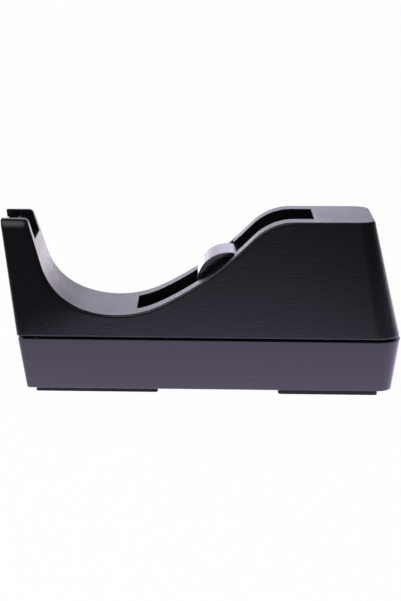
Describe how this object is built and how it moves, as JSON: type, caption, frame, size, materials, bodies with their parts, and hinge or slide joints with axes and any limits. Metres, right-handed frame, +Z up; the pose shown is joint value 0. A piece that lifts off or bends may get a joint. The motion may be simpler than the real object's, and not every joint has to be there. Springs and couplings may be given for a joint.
{
  "type": "tape dispenser organizer with drawer",
  "caption": "Desk tape dispenser with a sloping cradle, toothed cutter head, removable roller hub, weighted base and a small drawer in the front of the lower housing.",
  "frame": {"origin": "centre of the whole dispenser's footprint, on the desk surface", "axes": "+X from the cutter head to the rear, +Y across the width, +Z up"},
  "size_m": [0.1609, 0.043, 0.0705],
  "materials": {
    "shell_plastic": "smooth moulded satin-gloss black",
    "base_plastic": "smooth moulded satin-gloss black",
    "hub_plastic": "polished moulded black",
    "inner_plastic": "plain moulded black",
    "blade_steel": "bright rolled strip",
    "screw_steel": "zinc plated",
    "ballast_iron": "as cast",
    "pad_rubber": "fine matt non-slip sheet"
  },
  "bodies": {
    "dispenser": {"upper_shell": "shell_plastic", "blade_holder": "shell_plastic", "cutter_blade": "blade_steel", "holder_screws": "screw_steel", "base_housing": "base_plastic", "bay_deck": "inner_plastic", "ballast_block": "ballast_iron", "case_screws": "screw_steel", "front_pad": "pad_rubber", "rear_pad": "pad_rubber"},
    "hub": {"hub_barrel": "hub_plastic", "hub_cap": "hub_plastic"},
    "drawer": {"drawer_tray": "base_plastic"}
  },
  "joints": [
    {"name": "hub_spin", "type": "hinge", "parent": "dispenser", "child": "hub", "pos_m": [0.01016, 0, 0.04355], "axis": [0, 1, 0], "continuous": true},
    {"name": "drawer_slide", "type": "slide", "parent": "dispenser", "child": "drawer", "axis": [-1, 0, 0], "range_m": [0, 0.0362]}
  ]
}
